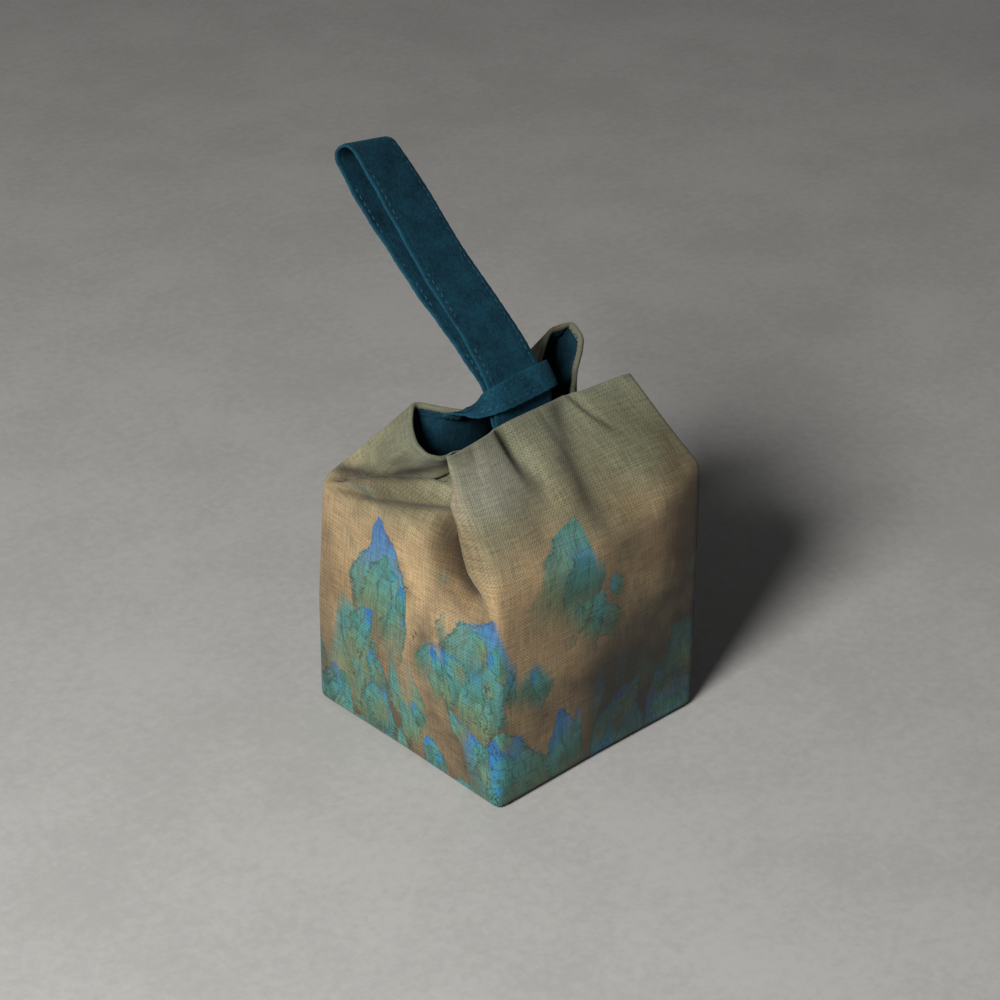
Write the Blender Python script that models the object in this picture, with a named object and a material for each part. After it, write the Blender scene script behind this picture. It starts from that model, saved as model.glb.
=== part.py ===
# Pull-through wrist-strap pouch: a small square-bottomed cloth pouch. A long strap, sewn inside the
# middle of the front rim, is pulled up through a short keeper sewn inside the far rim, which gathers
# the mouth and leaves the strap standing as a wrist loop. Near front edge at (-x, -y), front is -Y.
import math

import bpy
import numpy as np
from mathutils import Vector
from mathutils.geometry import delaunay_2d_cdt

# Driving dimensions, metres
BASE_SIDE = 0.090          # width of each wall, and of the square base
CLOTH_HEIGHT = 0.132       # wall cloth from base edge to rim, measured flat
CLOTH_THICK = 0.0008       # printed outer cloth
LINING_THICK = 0.0006      # suede-like lining
SEWN_GAP = 0.0003          # clearance between pieces that touch
BASE_EDGE_RADIUS = 0.0025  # rounding where the walls turn under
HEM_DEPTH = 0.0024         # outer cloth turned in at the rim
STRAP_WIDTH = 0.025
STRAP_THICK = 0.0014       # folded strip
STRAP_REACH = 0.0935       # strap loop beyond the keeper
STRAP_ROOT = 0.008         # strap ends sewn down inside the front rim
STRAP_LEAN = 46.0          # degrees from upright, away from the front
STRAP_LOOP_GAP = 0.0076    # between the two legs, at the loop end
KEEPER_THICK = 0.0012
KEEPER_ROOT = 0.007        # keeper ends sewn down inside the far rim
ROOT_SLACK = 0.0014        # extra room where a strip lies on the gathered lining

# The fold pattern is drawn for walls 90 wide and 132 high, then scaled to the driving dimensions.
SIDE_UNIT = BASE_SIDE / 90.0
HEIGHT_UNIT = CLOTH_HEIGHT / 132.0
GIRTH = 360.0
TOP = 132.0
# The bends of the strap and keeper are drawn for a strap 25 mm wide.
STRAP_UNIT = STRAP_WIDTH / 0.025

# Fold points: flat place (u round the walls from the near front edge, v up the cloth), folded place
# (x, y, z). Walls in order: front, right, far, left.
FOLD_POINTS = (
    # base edge and lower walls, slightly filled out
    (0, 0, -45.6, -45.6, 0), (45, 0, 0, -45, 0), (90, 0, 45.6, -45.6, 0), (135, 0, 45, 0, 0),
    (180, 0, 45.6, 45.6, 0), (225, 0, 0, 45, 0), (270, 0, -45.6, 45.6, 0), (315, 0, -45, 0, 0),
    (0, 40, -46, -46, 40), (22, 38, -23, -46.6, 38), (45, 40, 0, -47, 40), (68, 38, 23, -46.6, 38),
    (90, 40, 46, -46, 40), (112, 38, 46.6, -23, 38), (135, 40, 47, 0, 40), (158, 38, 46.6, 23, 38),
    (180, 40, 46, 46, 40), (202, 38, 23, 46.4, 38), (225, 40, 0, 46.4, 40), (248, 38, -23, 46.4, 38),
    (270, 40, -45.4, 45.4, 40), (292, 38, -46.6, 23, 38), (315, 40, -47, 0, 40), (338, 38, -46.6, -23, 38),
    # front wall: shoulder, slope and rim
    (0, 70, -46, -46, 70), (0, 82, -45.6, -45, 82), (24, 82, -22, -47, 82), (45, 82, 0, -47, 82),
    (68, 86, 23, -47, 86), (90, 84, 46, -46, 84), (90, 95, 45.8, -45.8, 95.4),
    (0, 95, -43.4, -38.5, 94), (0, 112, -42.6, -28, 107), (14, 106, -32, -33.5, 102), (30, 106, -16, -31, 100),
    (45, 106, 0, -32, 101.5), (60, 106, 15, -31, 101), (76, 108, 31, -33.5, 104.4), (90, 114, 43.4, -31.5, 107.8),
    (0, 132, -38.5, -17, 118.8), (13, 132, -28, -15.5, 118.6), (24, 132, -18.6, -13.4, 118),
    (30, 132, -14.6, -9.6, 117.2), (35, 132, -10.8, -11.6, 118), (45, 132, 0, -11.8, 118.4),
    (56, 132, 11, -11.6, 118.2), (63, 132, 16.8, -10.2, 117.8), (70, 132, 22.5, -13.2, 118.2),
    (78, 132, 30, -13.8, 118.6), (90, 132, 41.6, -17, 119.8),
    # right wall: folded in between the front and far walls, its far half standing as an ear
    (112, 88, 46.6, -22, 88), (135, 86, 46.5, 0, 86), (158, 84, 46.6, 22, 84), (97, 112, 41.6, -23, 101.6),
    (112, 104, 38, -22, 96), (135, 104, 36, -2, 94), (135, 118, 27, -7, 99), (155, 106, 36, 18, 96),
    (112, 120, 32, -16, 104), (98, 132, 39.4, -9.8, 114.6), (108, 132, 31.4, -7.4, 111.6),
    (121, 132, 25, -8.6, 109.5), (135, 132, 24.4, -6.6, 114.6),
    (145, 132, 31, -1.8, 117), (157, 132, 40.6, 5.4, 118.6), (168, 132, 47.4, 11.6, 119.4),
    (180, 87, 45.6, 45.6, 87), (180, 132, 52, 22, 120.4),
    # far wall: pulled forward in the middle by the keeper
    (202, 80, 23, 45.5, 80), (225, 74, 0, 45, 74), (248, 80, -23, 45.5, 80),
    (205, 108, 24, 30, 104), (225, 106, 0, 24, 98), (246, 108, -22, 27, 103),
    (190, 132, 41.6, 23.4, 120.8), (202, 132, 29, 14, 119), (212, 132, 17.5, 4.6, 117.8),
    (225, 132, 0, 1.5, 117.4), (237, 132, -13, 2.8, 117.6), (246, 132, -18, 8, 118.4),
    (254, 132, -21.4, 13.2, 119), (262, 132, -23.8, 16.4, 119.4),
    # left wall: folded in likewise. A soft roll of cloth lies between its two creases
    (270, 86, -43, 43.6, 86.6), (270, 132, -28.4, 17.6, 119.6),
    (292, 86, -45.2, 21, 87), (308, 88, -46.2, 6, 89), (326, 88, -46, -11, 89), (338, 82, -46, -23, 82.4),
    (296, 92, -44.4, 19, 91.6), (313, 96.5, -42.2, 2.3, 95.6), (329, 99, -38, -12, 97),
    (285, 98, -41.6, 30, 92.4), (299, 99.5, -40, 17.6, 97), (313, 105, -33.6, 2.6, 100),
    (286, 102, -38, 28, 91.6), (301, 107.5, -32, 15, 95.4), (314, 113.5, -25, 1.6, 99), (321, 118, -20, -6, 101),
    (327, 110, -28, -11, 101.5), (337, 92, -42.4, -22, 90), (342, 106, -34, -20.4, 98.5),
    (345, 118, -33.4, -14, 104.6),
    (278, 132, -33.2, 10.4, 118.2), (286, 132, -35, 3.6, 115), (295, 132, -34, -2, 111.8),
    (304, 132, -30, -5.4, 109.4), (316, 132, -24.6, -4.2, 108.2), (330, 132, -20.6, -7, 110.4),
    (345, 132, -32, -8.2, 113.6),
    # fold edge of the front wall, rising from a small pocket just behind the near front edge
    (351, 78, -46.2, -37.4, 78), (352.5, 88, -47.8, -34.4, 87.4), (354, 98, -47.6, -31, 96.6),
    (355, 108, -46.4, -27.6, 104.6), (356.5, 119, -44, -22.4, 112), (357.5, 132, -41.4, -16.6, 119.6),
    (345, 86, -41, -30.4, 85.4), (345, 93, -37.4, -28, 90.4), (347, 101, -36.6, -25.4, 96.6),
)
# Creases that the cloth keeps, each a run of flat places joined by straight folds.
FOLDS = (
    ((0, 0), (0, 40), (0, 70), (0, 82), (0, 95), (0, 112), (0, 132)),
    ((90, 0), (90, 40), (90, 84), (90, 95), (90, 114), (90, 132)),
    ((180, 0), (180, 40), (180, 87), (180, 132)), ((270, 0), (270, 40), (270, 86), (270, 132)),
    ((270, 86), (296, 92), (313, 96.5), (329, 99)),
    ((270, 86), (286, 102), (301, 107.5), (314, 113.5), (321, 118), (316, 132)),
    ((180, 87), (155, 106), (135, 118), (135, 132)),
    ((351, 78), (352.5, 88), (354, 98), (355, 108), (356.5, 119), (357.5, 132)),
    ((351, 78), (345, 86), (345, 93), (347, 101), (345, 118), (345, 132)),
)
# Grooves pressed into the cloth: flat start, flat end, width, depth, deepest share of the length.
GROOVES = (
    (29.5, 134, 34, 100, 4.2, 2.2, 0.15),
    (63.5, 134, 74, 92, 5.5, 2.0, 0.20),
)


def fold_table():
    """Flat and folded places, with the near front edge stated at both ends of the girth."""
    rows = [row for row in FOLD_POINTS]
    rows += [(GIRTH,) + row[1:] for row in FOLD_POINTS if row[0] == 0]
    flat = [(float(row[0]), float(row[1])) for row in rows]
    folded = np.array([row[2:] for row in rows], float)
    return flat, folded


def folded_sheet(step):
    """Regular grid over the flat cloth, carried to the folded shape and softened as cloth is."""
    flat, folded = fold_table()
    index = {place: number for number, place in enumerate(flat)}
    edges = []
    for run in FOLDS:
        edges += [(index[start], index[end]) for start, end in zip(run, run[1:])]
        if run[0][0] == 0:
            shut = [(GIRTH, v) for _, v in run]
            edges += [(index[start], index[end]) for start, end in zip(shut, shut[1:])]
    for v in (0.0, TOP):
        line = sorted(place for place in flat if place[1] == v)
        edges += [(index[low], index[high]) for low, high in zip(line, line[1:])]
    result = delaunay_2d_cdt([Vector(place) for place in flat], edges, [], 1, 1e-6)
    points, faces, sources = result[0], result[2], result[3]
    columns = int(round(GIRTH / step))
    rows = int(round(TOP / step))
    u, v = np.meshgrid(np.arange(columns) * step, np.linspace(0.0, TOP, rows + 1))
    sheet = np.zeros(u.shape + (3,))
    for face in faces:
        a, b, c = (np.array(points[corner]) for corner in face)
        size = (b[0] - a[0]) * (c[1] - a[1]) - (c[0] - a[0]) * (b[1] - a[1])
        wb = ((u - a[0]) * (c[1] - a[1]) - (c[0] - a[0]) * (v - a[1])) / size
        wc = ((b[0] - a[0]) * (v - a[1]) - (u - a[0]) * (b[1] - a[1])) / size
        inside = (wb > -1e-6) & (wc > -1e-6) & (wb + wc < 1 + 1e-6)
        pa, pb, pc = (folded[sources[corner][0]] for corner in face)
        place = pa + wb[..., None] * (pb - pa) + wc[..., None] * (pc - pa)
        sheet[inside] = place[inside]
    return u, v, sheet


def widened(field):
    """One column each side (the cloth closes round) and one straight-on row below and above."""
    field = np.concatenate([field[:, -1:], field, field[:, :1]], axis=1)
    low = 2 * field[:1] - field[1:2]
    high = 2 * field[-1:] - field[-2:-1]
    return np.concatenate([low, field, high], axis=0)


def softened(sheet, passes):
    for _ in range(passes):
        wide = widened(sheet)
        across = (wide[1:-1, :-2] + 2 * wide[1:-1, 1:-1] + wide[1:-1, 2:]) / 4
        wide = widened(across)
        sheet = (wide[:-2, 1:-1] + 2 * wide[1:-1, 1:-1] + wide[2:, 1:-1]) / 4
    return sheet


def sheet_normals(sheet):
    wide = widened(sheet)
    along_u = wide[1:-1, 2:] - wide[1:-1, :-2]
    along_v = wide[2:, 1:-1] - wide[:-2, 1:-1]
    normal = np.cross(along_u, along_v)
    return normal / np.maximum(np.linalg.norm(normal, axis=-1, keepdims=True), 1e-9)


def groove_depth(u, v):
    depth = np.zeros_like(u)
    for u0, v0, u1, v1, width, deep, crest in GROOVES:
        run_u, run_v = u1 - u0, v1 - v0
        share = ((u - u0) * run_u + (v - v0) * run_v) / (run_u ** 2 + run_v ** 2)
        off = ((u - u0) * run_v - (v - v0) * run_u) / math.hypot(run_u, run_v)
        fade = np.where(share < crest, 0.5 + 0.5 * share / crest, (1 - share) / (1 - crest))
        depth += deep * np.clip(fade, 0, 1) * np.exp(-(off / (width * 0.6)) ** 2)
    return depth


class Cloth:
    """The pouch wall as one soft sheet: place and outward normal at any flat (u, v)."""

    def __init__(self, step=2.0, passes=4):
        u, v, sheet = folded_sheet(step)
        sheet = softened(sheet, passes)
        sheet = sheet - sheet_normals(sheet) * groove_depth(u, v)[..., None]
        self.step = step
        self.rows = sheet.shape[0] - 1
        self.sheet = sheet
        self.normals = softened(sheet_normals(sheet), 10)

    def read(self, field, u, v):
        column = (u % GIRTH) / self.step
        row = min(max(v / TOP * self.rows, 0.0), self.rows - 1e-6)
        c0, r0 = int(column), int(row)
        fc, fr = column - c0, row - r0
        count = field.shape[1]
        c0 %= count
        c1 = (c0 + 1) % count
        low = field[r0, c0] * (1 - fc) + field[r0, c1] * fc
        high = field[r0 + 1, c0] * (1 - fc) + field[r0 + 1, c1] * fc
        return low * (1 - fr) + high * fr

    def at(self, u, v, inset=0.0):
        """Metres; inset is the distance in from the outer face."""
        place = self.read(self.sheet, u, v)
        normal = self.read(self.normals, u, v)
        normal = normal / np.linalg.norm(normal)
        place = place * (SIDE_UNIT, SIDE_UNIT, HEIGHT_UNIT)
        return place - normal * inset


def wall_columns():
    wall = (0.0, 3.0, 8.0, 15.0, 22.0, 29.5, 36.0, 45.0, 54.0, 63.0, 69.0, 76.0, 82.0, 87.0)
    return [90.0 * side + u for side in range(4) for u in wall]


WALL_ROWS = (20.0, 40.0, 60.0, 74.0, 82.0, 89.0, 95.0, 101.0, 107.0, 113.0, 119.0, 125.0)


def edge_ring(cloth, inset, angle):
    """Ring on the rounded base edge, angle 0 at the wall to 90 at the flat base."""
    ring = []
    reach = BASE_EDGE_RADIUS - inset
    for u in wall_columns():
        place = cloth.at(u, BASE_EDGE_RADIUS / HEIGHT_UNIT)
        ahead = cloth.at(u + 1.5, BASE_EDGE_RADIUS / HEIGHT_UNIT)
        behind = cloth.at(u - 1.5, BASE_EDGE_RADIUS / HEIGHT_UNIT)
        along = ahead - behind
        out = np.array([along[1], -along[0], 0.0])
        out = out / np.linalg.norm(out)
        turn = math.radians(angle)
        place = place - out * (BASE_EDGE_RADIUS - reach * math.cos(turn))
        place[2] = BASE_EDGE_RADIUS - reach * math.sin(turn)
        ring.append(place)
    return ring


def wall_ring(cloth, v, inset):
    return [cloth.at(u, v, inset) for u in wall_columns()]


def make_object(name, points, faces, colour, roughness):
    mesh = bpy.data.meshes.new(name)
    mesh.from_pydata([tuple(float(value) for value in point) for point in points], [], faces)
    mesh.validate()
    mesh.update()
    material = bpy.data.materials.new(name + "_material")
    material.use_nodes = True
    shader = material.node_tree.nodes["Principled BSDF"]
    shader.inputs["Base Color"].default_value = colour
    shader.inputs["Roughness"].default_value = roughness
    shader.inputs["Metallic"].default_value = 0.0
    mesh.materials.append(material)
    item = bpy.data.objects.new(name, mesh)
    bpy.context.scene.collection.objects.link(item)
    return item


def ring_body(name, rings, outside, colour, roughness):
    """Closed body from rings that run up the outside and back down the inside, capped flat."""
    count = len(rings[0])
    points = [point for ring in rings for point in ring]
    faces = [tuple(range(count - 1, -1, -1))]
    for row in range(len(rings) - 1):
        for column in range(count):
            following = (column + 1) % count
            a, b = row * count + column, row * count + following
            c, d = b + count, a + count
            faces += [(a, b, c), (a, c, d)] if row < outside else [(a, b, d), (b, c, d)]
    faces.append(tuple((len(rings) - 1) * count + column for column in range(count)))
    return make_object(name, points, faces, colour, roughness)


def spline(points, pieces):
    """Smooth curve through the points, each span cut into equal pieces."""
    points = [np.array(point, float) for point in points]
    ends = [2 * points[0] - points[1]] + points + [2 * points[-1] - points[-2]]
    curve = []
    for a, b, c, d in zip(ends, ends[1:], ends[2:], ends[3:]):
        for piece in range(pieces):
            t = piece / pieces
            curve.append(0.5 * (2 * b + (c - a) * t + (2 * a - 5 * b + 4 * c - d) * t ** 2
                                + (3 * b - a - 3 * c + d) * t ** 3))
    curve.append(points[-1])
    return curve


def band_body(name, left, right, thick, colour, roughness):
    """Flat strip between two edge curves, one body with square-cut ends."""
    middle = [(a + b) / 2 for a, b in zip(left, right)]
    last = len(middle) - 1
    points = []
    for index, (a, b) in enumerate(zip(left, right)):
        along = middle[min(index + 1, last)] - middle[max(index - 1, 0)]
        normal = np.cross(b - a, along)
        normal = normal / np.linalg.norm(normal) * thick / 2
        points += [a - normal, b - normal, b + normal, a + normal]
    faces = [(0, 1, 2, 3)]
    for index in range(last):
        base = index * 4
        for side in range(4):
            other = (side + 1) % 4
            faces.append((base + other, base + side, base + side + 4, base + other + 4))
    faces.append((last * 4 + 3, last * 4 + 2, last * 4 + 1, last * 4))
    return make_object(name, points, faces, colour, roughness)


def build_shells(cloth):
    lining_out = CLOTH_THICK + SEWN_GAP
    lining_in = lining_out + LINING_THICK
    hem = TOP - HEM_DEPTH / HEIGHT_UNIT
    lining_top = hem - SEWN_GAP / HEIGHT_UNIT
    turns = (90.0, 45.0, 0.0)
    outer = [edge_ring(cloth, 0.0, turn) for turn in turns]
    outer += [wall_ring(cloth, v, 0.0) for v in WALL_ROWS + (hem, TOP)]
    outside = len(outer) - 1
    outer += [wall_ring(cloth, v, lining_in) for v in (TOP, hem)]
    outer += [wall_ring(cloth, v, CLOTH_THICK) for v in (hem,) + WALL_ROWS[::-1]]
    outer += [edge_ring(cloth, CLOTH_THICK, turn) for turn in turns[::-1]]
    ring_body("outer_shell", outer, outside, (0.30, 0.22, 0.13, 1.0), 0.9)
    inner = [edge_ring(cloth, lining_out, turn) for turn in turns]
    inner += [wall_ring(cloth, v, lining_out) for v in WALL_ROWS + (lining_top,)]
    outside = len(inner) - 1
    inner += [wall_ring(cloth, v, lining_in) for v in (lining_top,) + WALL_ROWS[::-1]]
    inner += [edge_ring(cloth, lining_in, turn) for turn in turns[::-1]]
    ring_body("lining", inner, outside, (0.006, 0.055, 0.075, 1.0), 0.95)
    return lining_in


def build_strap(cloth, lining_in):
    """Near leg up from the front rim, over the loop end and back down to the rim behind itself."""
    front = 45.0
    near_inset = lining_in + ROOT_SLACK * 1.5 + STRAP_THICK / 2
    far_inset = near_inset + STRAP_THICK + SEWN_GAP
    foot = TOP - STRAP_ROOT / HEIGHT_UNIT
    near_rim = cloth.at(front, TOP, near_inset)
    far_rim = cloth.at(front, TOP, far_inset)
    pull = cloth.at(front, TOP)
    lean = math.radians(STRAP_LEAN)
    up = np.array([0.0, math.sin(lean), math.cos(lean)])
    back = np.array([0.0, math.cos(lean), -math.sin(lean)])
    start = pull + np.array([0.0, 0.0085, 0.0090]) * STRAP_UNIT
    reach = STRAP_REACH
    gap = STRAP_LOOP_GAP
    def leg(share, sink, apart=0.0):
        return start + up * reach * share + back * (sink * STRAP_UNIT + gap * apart)

    near = [cloth.at(front, foot, near_inset), near_rim, pull + np.array([0.0, 0.0037, 0.0024]) * STRAP_UNIT]
    near += [start, leg(0.12, -0.0006), leg(0.28, -0.0002), leg(0.5, 0.0012), leg(0.75, 0.0040)]
    loop = []
    for turn in (0.0, 45.0, 90.0, 135.0, 180.0):
        angle = math.radians(turn)
        loop.append(leg(0.945, 0.0058, 0.5 - 0.5 * math.cos(angle)) + up * gap * 0.5 * math.sin(angle))
    far = [leg(0.8, 0.0042, 1.06), leg(0.6, 0.0020, 1.14), leg(0.4, 0.0004, 1.0), leg(0.2, -0.0004, 0.71),
           leg(0.0, 0.0024), far_rim + np.array([0.0, 0.0010, 0.0026]) * STRAP_UNIT, far_rim,
           cloth.at(front, foot, far_inset)]
    middle = spline(near + loop + far, 3)
    left, right = [], []
    for point in middle:
        high = float(np.dot(point - start, up))
        deep = float(np.dot(point - start, back)) - gap * 0.5
        turn = math.radians(7.2 * min(max(high / (0.008 * STRAP_UNIT) + 1.0, 0.0), 1.0) + 20.0 * max(high, 0.0) / reach)
        for edge, side in ((left, -STRAP_WIDTH / 2), (right, STRAP_WIDTH / 2)):
            across = side * math.cos(turn) - deep * math.sin(turn)
            depth = side * math.sin(turn) + deep * math.cos(turn) + gap * 0.5
            edge.append(start + up * high + back * depth + np.array([across, 0.0, 0.0]))
    band_body("wrist_strap", left, right, STRAP_THICK, (0.010, 0.080, 0.105, 1.0), 0.9)


def build_keeper(cloth, lining_in):
    """Short band round both strap legs, its ends sewn down inside the far rim."""
    inset = lining_in + ROOT_SLACK + KEEPER_THICK / 2
    foot = TOP - KEEPER_ROOT / HEIGHT_UNIT
    pull = cloth.at(45.0, TOP)
    half = 0.0125
    top = [cloth.at(237.0, foot, inset), cloth.at(237.0, TOP, inset)]
    top += [pull + np.array(place) * STRAP_UNIT for place in (
        (-half - 0.0020, 0.0104, 0.0044), (-half - 0.0018, 0.0078, 0.0082), (-half + 0.0008, 0.0050, 0.0106),
        (0.0, 0.0058, 0.0114),
        (half - 0.0004, 0.0066, 0.0110), (half + 0.0022, 0.0084, 0.0096), (half + 0.0026, 0.0116, 0.0052))]
    top += [cloth.at(216.0, TOP, inset), cloth.at(216.0, foot, inset)]
    low = [cloth.at(247.0, foot, inset), cloth.at(247.0, TOP, inset)]
    low += [pull + np.array(place) * STRAP_UNIT for place in (
        (-half - 0.0062, 0.0118, 0.0004), (-half - 0.0044, 0.0066, 0.0004), (-half + 0.0008, 0.0008, 0.0032),
        (0.0, 0.0007, 0.0034),
        (half - 0.0004, 0.0012, 0.0038), (half + 0.0036, 0.0048, 0.0020), (half + 0.0050, 0.0106, -0.0002))]
    low += [cloth.at(206.0, TOP, inset), cloth.at(206.0, foot, inset)]
    band_body("keeper_loop", spline(top, 2), spline(low, 2), KEEPER_THICK, (0.012, 0.090, 0.115, 1.0), 0.9)


def build():
    for item in list(bpy.data.objects):
        bpy.data.objects.remove(item, do_unlink=True)
    cloth = Cloth()
    lining_in = build_shells(cloth)
    build_strap(cloth, lining_in)
    build_keeper(cloth, lining_in)


build()
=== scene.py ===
import math

import bpy
import numpy as np
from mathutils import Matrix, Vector
from mathutils.geometry import delaunay_2d_cdt


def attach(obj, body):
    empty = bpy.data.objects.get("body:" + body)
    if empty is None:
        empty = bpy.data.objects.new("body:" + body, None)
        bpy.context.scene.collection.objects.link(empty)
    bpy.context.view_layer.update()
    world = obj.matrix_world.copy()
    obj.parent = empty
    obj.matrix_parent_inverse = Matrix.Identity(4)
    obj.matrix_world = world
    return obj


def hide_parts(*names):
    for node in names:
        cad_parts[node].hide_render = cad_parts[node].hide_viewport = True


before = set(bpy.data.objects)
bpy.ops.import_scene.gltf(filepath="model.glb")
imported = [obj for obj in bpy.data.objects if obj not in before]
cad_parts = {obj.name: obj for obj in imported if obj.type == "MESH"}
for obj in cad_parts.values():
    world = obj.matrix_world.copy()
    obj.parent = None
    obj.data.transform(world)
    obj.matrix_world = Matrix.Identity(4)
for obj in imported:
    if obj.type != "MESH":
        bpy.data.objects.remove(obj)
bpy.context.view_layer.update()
mm = 0.001
mapUnit = 100.0               # mm to one unit of each cloth map

# degrees, metres, lens and sensor in mm, and the place in mm that the camera looks at
view = {"azimuth": -42.87, "elevation": 30.52, "distance": 0.9245, "lens": 100.8, "sensor": 36,
        "aim": (-1.32, 1.22, 79.8)}


def makeCamera():
    azimuth, elevation = math.radians(view["azimuth"]), math.radians(view["elevation"])
    back = Vector((math.sin(azimuth) * math.cos(elevation), -math.cos(azimuth) * math.cos(elevation),
                   math.sin(elevation)))
    camera = bpy.data.objects.new("camera", bpy.data.cameras.new("camera"))
    camera.data.lens, camera.data.sensor_width = view["lens"], view["sensor"]
    camera.data.clip_start, camera.data.clip_end = 0.01, 50
    camera.location = Vector(view["aim"]) * mm + back * view["distance"]
    camera.rotation_mode = "QUATERNION"
    camera.rotation_quaternion = (-back).to_track_quat("-Z", "Y")
    bpy.context.scene.collection.objects.link(camera)
    bpy.context.scene.camera = camera


makeCamera()
bpy.context.scene.view_settings.view_transform = "Standard"
print("camera placed")


def fromHex(code):
    # sRGB colour code to linear
    parts = [int(code[place:place + 2], 16) / 255 for place in (1, 3, 5)]
    linear = [part / 12.92 if part <= 0.04045 else ((part + 0.055) / 1.055) ** 2.4 for part in parts]
    return (*linear, 1.0)


def newMaterial(name, roughness, settings=()):
    material = bpy.data.materials.new(name)
    material.use_nodes = True
    shader = material.node_tree.nodes["Principled BSDF"]
    shader.inputs["Roughness"].default_value = roughness
    for socket, value in dict(settings).items():
        shader.inputs[socket].default_value = value
    return material, material.node_tree, shader


def add(tree, kind, inputs=(), **settings):
    # One node with its settings; each input takes a value, a colour code, or a node or socket to link from
    node = tree.nodes.new(kind if "Node" in kind else "ShaderNode" + kind)
    for number, (place, code) in enumerate(settings.pop("stops", ())):
        points = node.color_ramp.elements
        point = points[number] if number < 2 else points.new(place)
        point.position, point.color = place, fromHex(code)
    for key, value in settings.items():
        setattr(node, key, value)
    for key, value in dict(inputs).items():
        if isinstance(value, bpy.types.Node):
            value = value.outputs[2 if value.bl_idname == "ShaderNodeMix" else 0]
        if isinstance(value, bpy.types.NodeSocket):
            tree.links.new(value, node.inputs[key])
        else:
            node.inputs[key].default_value = fromHex(value) if isinstance(value, str) else value
    return node


# Settings that many nodes share: soft steps, patterns on flat cloth, and mixes of colours
softStep = {"interpolation_type": "SMOOTHSTEP"}
onFlat = {"noise_dimensions": "2D"}
ofColours = {"data_type": "RGBA"}

# The printed canvas. Its map gives flat cloth places, u round the walls and v up from the base.
canvas = {
    "threadPitch": 0.60,      # mm between threads; the real cloth is near 0.5, drawn a little coarse to show
    "slub": (8.3333, 0.625),  # mm long and wide: single threads run thicker or paler
    "fibre": 0.38462,         # mm across the uneven spinning of a thread
    # mm across the washes of dye, the clouds at their edges, and the drifts in which the leaves stand
    "wash": 43.478, "cloud": 14.286, "drift": 41.667,
    "speck": 1.1765, "clump": 9.091,      # mm across the ink's specks, and their clumps
    "ochre": "#967f5d", "umber": "#6f573a", "olive": "#74725a", "oliveDark": "#626350",
    "azure": "#24709f", "deepBlue": "#135c9c", "turquoise": "#3f7f7c", "leafGreen": "#3a6656",
    # the last colour on the next line, a near-black brown, is the painted shade laid in the folds
    "mossGreen": "#5a7659", "ink": "#191b1a", "shade": "#38362a", "foldShadeTone": "#1c150e", "weaveBump": 0.00007,
    # soft patches: u, v, reach across and up, colour, strength. Most are dye; the brown one by the left wall's
    # fold is painted shade, and the dark ones low and at the right edge of the front wall are darker print with
    # painted shade
    "dyeAndShadeWashes": (
        (0.12, 1.17, 0.20, 0.17, "#8c8a79", 0.75), (-0.62, 1.14, 0.30, 0.13, "#585741", 0.75),
        (-0.50, 0.97, 0.26, 0.09, "#55513a", 0.70), (-0.20, 0.93, 0.15, 0.26, "#4c3b26", 0.85),
        (0.52, 1.00, 0.16, 0.30, "#57513c", 0.65), (0.76, 1.12, 0.20, 0.18, "#53543f", 0.80),
        (0.86, 0.72, 0.17, 0.44, "#42321f", 0.85), (0.64, 0.22, 0.34, 0.30, "#352e20", 0.80),
        (1.45, 0.30, 0.55, 0.30, "#3d3424", 0.70), (2.20, 0.62, 0.30, 0.34, "#5b4a32", 0.60),
        (-0.46, 0.62, 0.28, 0.22, "#ab916b", 0.75),
    ),
    # the same over the leaves: dark print low on the walls, with painted shade on the walls turned from the
    # light
    "printAndShadeGlazes": ((0.62, 0.28, 0.38, 0.42, "#1d1f19", 0.74), (0.90, 0.62, 0.16, 0.36, "#2a2318", 0.60),
               (1.40, 0.22, 0.60, 0.34, "#1d1f19", 0.50), (-0.86, 0.30, 0.07, 0.50, "#221f17", 0.40)),
    # leaves per 100 mm, seed, tilt, length, width, from where they stand, strength
    "leaves": ((2.7, 3.0, 0.70, 0.58, 0.34, 0.80, 0.85), (4.2, 11.0, 0.90, 0.58, 0.30, 0.92, 0.92),
               (6.4, 27.0, 1.10, 0.60, 0.27, 1.02, 0.95), (10.0, 41.0, 1.30, 0.62, 0.24, 1.12, 0.95)),
}


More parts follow.
